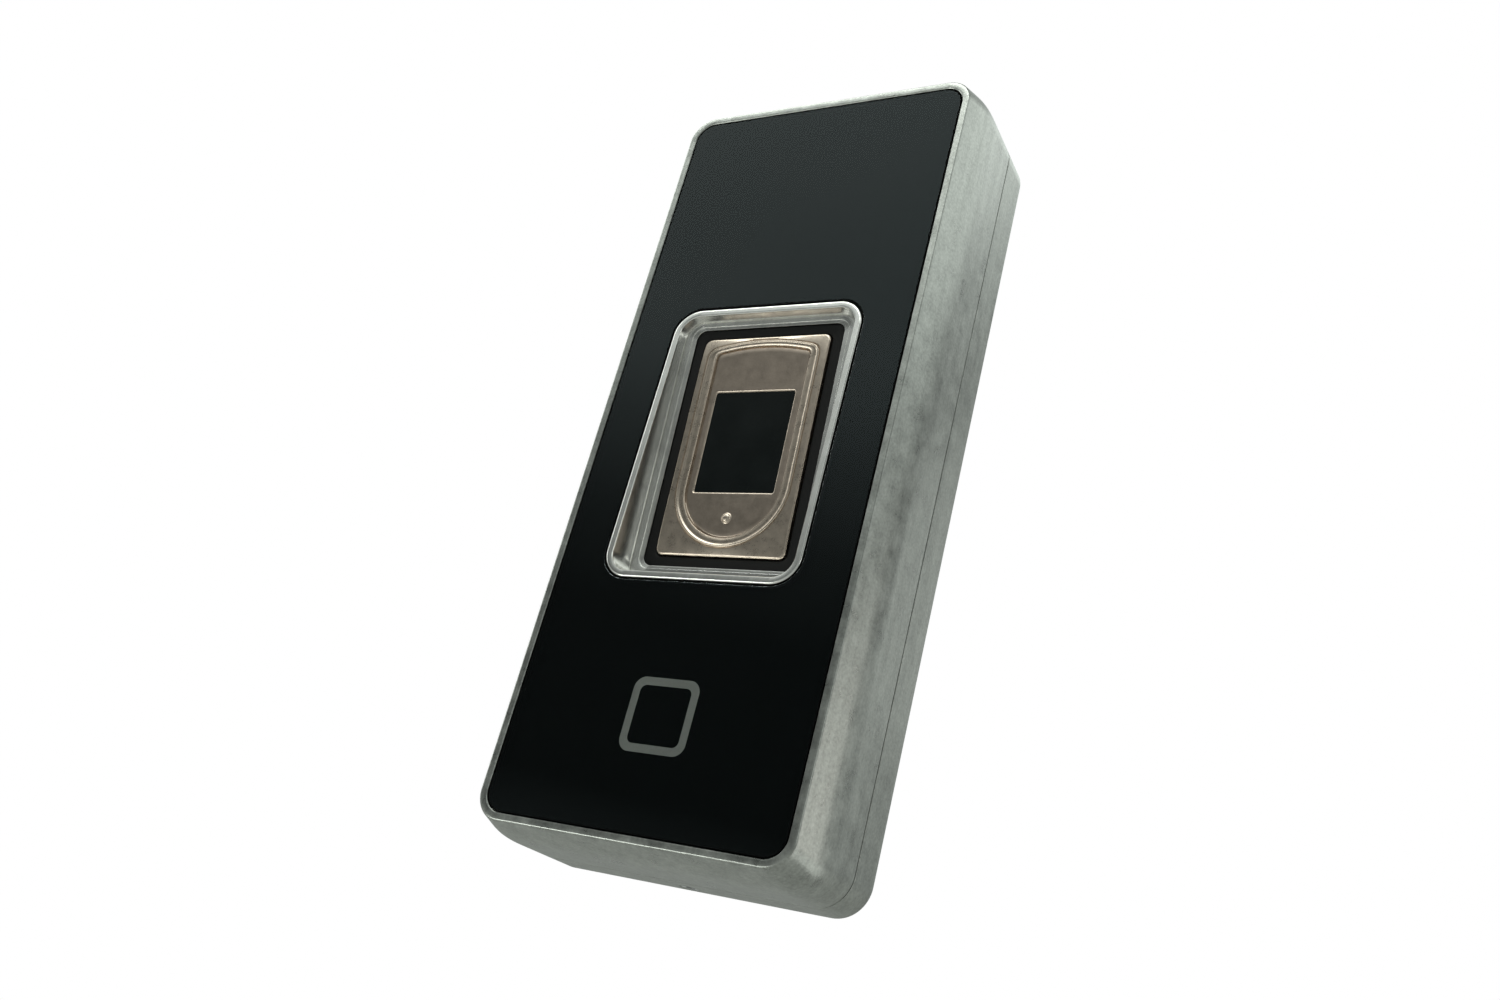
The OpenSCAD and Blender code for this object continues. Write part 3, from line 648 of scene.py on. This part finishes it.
def make_rear_plate():
    """Plate that closes the reader, cut for hooks, wire header and tongue, with the pin's guide tube."""
    bm = bmesh.new()
    rows = [(0.25, 13.2), (0.06, 13.26), (0, 13.42), (0, 14.18), (0.06, 14.34), (0.25, 14.4)]
    loft(bm, [level(outline(45.4 - 2 * i, 113.1 - 2 * i, 2.5 - i / 2), d) for i, d in rows], closed=False)
    tools = bmesh.new()
    for x in (-HOOK_X, HOOK_X):
        block(tools, x - 4.7, x + 4.7, 12, 16, 53.85, 60, edge=0.3)
    block(tools, -9.6, 9.6, 12, 16, -25.4, -18.6, edge=0.4)
    block(tools, -6.5, 6.5, 12, 16, -60, -51.35, edge=0.4)
    turned(tools, [(2.7, 12), (2.7, 15.5)], through(PIN_X, PIN_Z))
    for x, z in screw_places(*COVER_SCREW):
        turned(tools, [(1.1, 12), (1.1, 15)], through(x, z), n=32)
    bm = combined(bm, tools, "DIFFERENCE")
    tube = [(2.7, 13.3), (2.7, 17.0), (1.35, 17.0), (1.35, 17.6), (1.55, 17.8), (3.8, 17.8), (4.0, 17.6),
            (4.0, 14.6), (4.3, 14.35), (4.3, 13.3)]
    turned(bm, tube, through(PIN_X, PIN_Z), n=56, closed=True)
    piece("inner_cover", bm, LOOK["plastic"], "reader", ["rear_plate"])


def make_screws(name, node, places, shank, length, d, head, head_t):
    """Pan-head screws with threads and a cross recess, their heads behind depth d."""
    one = bmesh.new()
    dome = ((0, 1.0), (0.45, 0.985), (0.72, 0.9), (0.9, 0.72), (0.98, 0.5), (1.0, 0.25), (0.97, 0.0))
    rows = [(head / 2 * across, d + head_t * up) for across, up in dome] + [(shank / 2, d)]
    pitch, plain_tip = 0.5, 0.6
    for i in range(int((length - plain_tip) / pitch)):
        top = d - 0.25 - i * pitch
        rows += [(shank / 2 - 0.14, top), (shank / 2, top - 0.18), (shank / 2, top - 0.24)]
    rows += [(shank / 2 - 0.3, d - length), (0, d - length)]
    turned(one, rows, through(), n=36)
    cross = bmesh.new()
    wide, thin = head * 0.31, shank * 0.13
    block(cross, -wide, wide, d + head_t * 0.5, d + head_t * 1.5, -thin, thin, edge=0.05)
    block(cross, -thin, thin, d + head_t * 0.5, d + head_t * 1.5, -wide, wide, edge=0.05)
    one = combined(one, cross, "DIFFERENCE")
    mesh = bpy.data.meshes.new("one")
    one.to_mesh(mesh)
    one.free()
    bm = bmesh.new()
    for k, (x, z) in enumerate(places):
        before = len(bm.verts)
        bm.from_mesh(mesh)
        bm.verts.ensure_lookup_table()
        turn = Matrix.Rotation(0.4 + 1.3 * k, 4, "Y")
        for v in bm.verts[before:]:
            v.co = turn @ v.co + Vector((x * MM, 0, z * MM))
    bpy.data.meshes.remove(mesh)
    piece(name, bm, LOOK["screw"], "reader", [node])


def make_grommet():
    bm = bmesh.new()
    rows = [(3.2, 17.5), (3.5, 17.2), (8.3, 17.2), (8.5, 17.4), (8.5, 18.0), (8.3, 18.2), (7.0, 18.2),
            (7.0, 20.6), (6.8, 20.8), (3.6, 20.8), (3.2, 20.5)]
    turned(bm, rows, through(), n=72, closed=True)
    piece("lead_grommet", bm, LOOK["gasket"], "wall_base", ["cable_grommet"])


def make_plunger():
    bm = bmesh.new()
    rows = [(0, 22.3), (0.55, 22.28), (0.9, 22.15), (1.15, 21.9), (1.3, 21.55), (1.3, 16.8), (1.45, 16.7),
            (2.25, 16.7), (2.4, 16.55), (2.4, 16.05), (2.25, 15.9), (1.35, 15.9), (1.2, 15.75), (1.2, 14.75),
            (1.05, 14.6), (0, 14.6)]
    turned(bm, rows, through(PIN_X, PIN_Z), n=40)
    piece("tamper_pin", bm, LOOK["acetal"], "plunger", ["tamper_plunger"])


def make_spring():
    """A coil spring with its ends closed flat."""
    bm = bmesh.new()
    low, high, wire, r = 12.0, 15.9, 0.18, 1.9
    turns, closed, steps, sides = 5.0, 0.8, 160, 10
    rise = 2 * wire
    open_length = high - low - 3 * rise
    rings = []
    for i in range(steps + 1):
        t = turns * i / steps
        ease = min(1, max(0, (t - closed) / (turns - 2 * closed)))
        ends = min(1, t / closed) + max(0, (t - turns + closed) / closed)
        d = low + wire + open_length * ease + rise * ends
        a = 2 * math.pi * t
        ring = []
        for s in range(sides):
            b = 2 * math.pi * s / sides
            out = r + wire * math.cos(b)
            ring.append(at(PIN_X + out * math.cos(a), d + wire * math.sin(b), PIN_Z + out * math.sin(a)))
        rings.append(ring)
    loft(bm, rings, closed=False)
    ob = piece("pin_spring", bm, LOOK["screw"], "reader", ["tamper_spring"])
    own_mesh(ob)


def make_lock_screw():
    """Grub screw with a dog point and a hexagon socket."""
    bm = bmesh.new()
    rows = [(0, 4.0), (0.75, 4.0), (1.0, 3.75), (1.0, 2.3)]
    pitch, threads, bottom = 0.5, 4, -58.65
    for i in range(threads):
        top = 2.2 - i * pitch
        rows += [(1.22, top), (1.45, top - 0.2), (1.45, top - 0.28)]
    rows += [(1.2, 0.0), (0, 0.0)]
    turned(bm, rows, upright(LOCK_D, bottom), n=44)
    socket = bmesh.new()
    turned(socket, [(0.75, -0.6), (0.75, 1.35), (0, 1.65)], upright(LOCK_D, bottom), n=6)
    bm = combined(bm, socket, "DIFFERENCE")
    piece("lock_grub", bm, LOOK["screw"], "lock", ["lock_screw"])


def make_header():
    """Eight-way wire header: an open-topped shell and its square pins."""
    header_z, pins, pitch = -22, 8, 2
    bm = bmesh.new()
    rows = [(18.2, 5.8, 10.8), (18.4, 6.0, 10.9), (18.4, 6.0, 15.5), (18.2, 5.8, 15.6), (17.0, 4.6, 15.6),
            (16.8, 4.4, 15.45), (16.8, 4.4, 12.0)]
    loft(bm, [level(outline(w, h, 0.35, header_z, n=4), d) for w, h, d in rows], closed=False)
    slots = bmesh.new()
    for x in (-5, 5):
        block(slots, x - 1, x + 1, 13, 16.4, -19.6, -18.6, edge=0.1)
    bm = combined(bm, slots, "DIFFERENCE")
    piece("wire_socket", bm, LOOK["ivory"], "reader", ["wire_header"])
    bm = bmesh.new()
    for i in range(pins):
        x = pitch * (i - (pins - 1) / 2)
        rows = [(0.5, 12.0), (0.5, 14.7), (0.28, 15.0)]
        loft(bm, [[at(px + x, d, pz) for px, pz in outline(w, w, 0.06, header_z, n=2)] for w, d in rows],
             closed=False)
    piece("wire_pins", bm, LOOK["gold"], "reader", ["header_pins"])


# ---- studio -------------------------------------------------------------------------------

def direction(azimuth, elevation):
    """A unit vector away from the object: azimuth 0 is -Y, its front, and 90 is -X."""
    a, e = math.radians(azimuth), math.radians(elevation)
    return Vector((-math.sin(a) * math.cos(e), -math.cos(a) * math.cos(e), math.sin(e)))


def make_world():
    """White to the eye. As a light it is a soft sky with a few dark screens that shape the reflections."""
    world = bpy.data.worlds.new("studio")
    SCENE.world = world
    world.use_nodes = True
    tree = world.node_tree
    tree.nodes.clear()
    out = tree.nodes.new("ShaderNodeOutputWorld")
    coords = tree.nodes.new("ShaderNodeTexCoord").outputs["Generated"]
    split = tree.nodes.new("ShaderNodeSeparateXYZ")
    tree.links.new(coords, split.inputs["Vector"])

    def by_elevation(stops):
        """Light that changes with height; stops are pairs of elevation and brightness."""
        ramp = tree.nodes.new("ShaderNodeValToRGB")
        while len(ramp.color_ramp.elements) < len(stops):
            ramp.color_ramp.elements.new(0.5)
        for element, (elevation, v) in zip(ramp.color_ramp.elements, stops):
            element.position = (math.sin(math.radians(elevation)) + 1) / 2
            element.color = (v * 0.94, v, v * 0.965, 1)
        tree.links.new(remap(tree, split.outputs["Z"], 0, 1, -1, 1), ramp.inputs["Fac"])
        return ramp.outputs["Color"]

    def masked(light, cover, azimuth, elevation, inner, outer):
        """Light, with a round cover that is full out to inner degrees and gone at outer."""
        aim = tree.nodes.new("ShaderNodeVectorMath")
        aim.operation = "DOT_PRODUCT"
        aim.inputs[1].default_value = direction(azimuth, elevation)
        tree.links.new(coords, aim.inputs[0])
        edge, full = math.cos(math.radians(outer)), math.cos(math.radians(inner))
        both = tree.nodes.new("ShaderNodeMix")
        both.data_type = "RGBA"
        tree.links.new(remap(tree, aim.outputs["Value"], 0, 1, edge, full), both.inputs["Factor"])
        tree.links.new(light, both.inputs["A"])
        tree.links.new(cover, both.inputs["B"])
        return both.outputs["Result"]

    sky = by_elevation([(-90, 0.32), (-1, 0.32), (1, 0.42), (28, 0.46), (31, 0.76), (35, 1.2), (37, 1.6),
                        (44, 1.6), (55, 0.6), (90, 0.40)])
    screen = by_elevation([(-1, 0.32), (3, 0.30), (9, 0.07), (17, 0.08), (21, 0.16), (25, 0.36), (28, 0.56),
                           (30, 0.62), (33, 0.62), (37, 0.70), (41, 0.78)])
    flag = by_elevation([(0, 0.30), (12, 0.10), (90, 0.08)])
    sky = masked(sky, flag, -139, 24, 3, 10)
    sky = masked(sky, flag, -155, 32, 3, 7)
    sky = masked(sky, flag, -40, 20, 14, 28)
    sky = masked(sky, screen, 34, 20, 22, 40)
    soft, white = tree.nodes.new("ShaderNodeBackground"), tree.nodes.new("ShaderNodeBackground")
    tree.links.new(sky, soft.inputs["Color"])
    soft.inputs["Strength"].default_value = 1.0
    white.inputs["Color"].default_value = (1, 1, 1, 1)
    mix = tree.nodes.new("ShaderNodeMixShader")
    tree.links.new(tree.nodes.new("ShaderNodeLightPath").outputs["Is Camera Ray"], mix.inputs["Fac"])
    tree.links.new(soft.outputs["Background"], mix.inputs[1])
    tree.links.new(white.outputs["Background"], mix.inputs[2])
    tree.links.new(mix.outputs["Shader"], out.inputs["Surface"])


def make_softbox(name, azimuth, elevation, size, radiance, distance=1.1, colour=(0.97, 1.0, 0.96)):
    """A soft light aimed at the object."""
    data = bpy.data.lights.new(name, "AREA")
    data.shape, data.size, data.size_y = "RECTANGLE", size[0], size[1]
    data.energy = radiance * math.pi * size[0] * size[1]
    data.color = colour
    way = direction(azimuth, elevation)
    ob = bpy.data.objects.new(name, data)
    SCENE.collection.objects.link(ob)
    ob.location = way * distance
    ob.visible_camera = False
    ob.rotation_mode = "QUATERNION"
    ob.rotation_quaternion = (-way).to_track_quat("-Z", "Y")


def make_floor():
    bm = bmesh.new()
    half, top, thick = 1.5, -0.25, 0.02
    square = [(half, half), (-half, half), (-half, -half), (half, -half)]
    loft(bm, [[Vector((x, y, z)) for x, y in square] for z in (top - thick, top)], closed=False)
    bmesh.ops.recalc_face_normals(bm, faces=bm.faces)
    mesh = bpy.data.meshes.new("floor")
    bm.to_mesh(mesh)
    bm.free()
    mesh.materials.append(surface("pale_floor", (0.38, 0.38, 0.37), 0.7, 0.0, 0.01, 3, 300, bump=0.02))
    ob = bpy.data.objects.new("floor", mesh)
    SCENE.collection.objects.link(ob)


# ---- the whole scene ----------------------------------------------------------------------

make_camera()

make_housing()
make_cover()
make_lens()
make_ring()
make_gasket()
make_bezel()
make_rear_plate()
make_screws("inner_screws", "rear_screws", screw_places(*COVER_SCREW),
            shank=1.7, length=4.6, d=14.4, head=3.8, head_t=1.1)
make_screws("board_fixings", "board_screws", screw_places(*BOARD_SCREW),
            shank=1.7, length=5, d=10.8, head=3.6, head_t=1.2)
make_grommet()
make_plunger()
make_spring()
make_lock_screw()
make_header()
dress_cad_nodes()

make_world()
make_floor()
# Soft lights: azimuth and elevation in degrees, width and height in metres, and radiance.
make_softbox("slope_low", -121, 3.5, (0.3, 0.5), 1.1, colour=(1.0, 0.97, 0.92))
make_softbox("wall_mid", -162, 20, (0.35, 0.3), 0.45)
make_softbox("left", 82, 22, (0.5, 0.7), 2.1)
make_softbox("front_top", 28, 56, (0.8, 0.42), 3.8)
make_softbox("right_crease", -66, 8, (0.25, 0.3), 2.0)
make_softbox("back_left", 123, 22, (0.2, 0.5), 1.5)
make_softbox("back_left_high", 130, 52, (0.5, 0.3), 2.5)
make_softbox("front_low", 37, -25, (0.2, 0.08), 5.0, distance=0.42)
make_softbox("corner_low", -124, -26, (0.2, 0.13), 0.8, distance=0.36)

SCENE.view_settings.view_transform = "Standard"
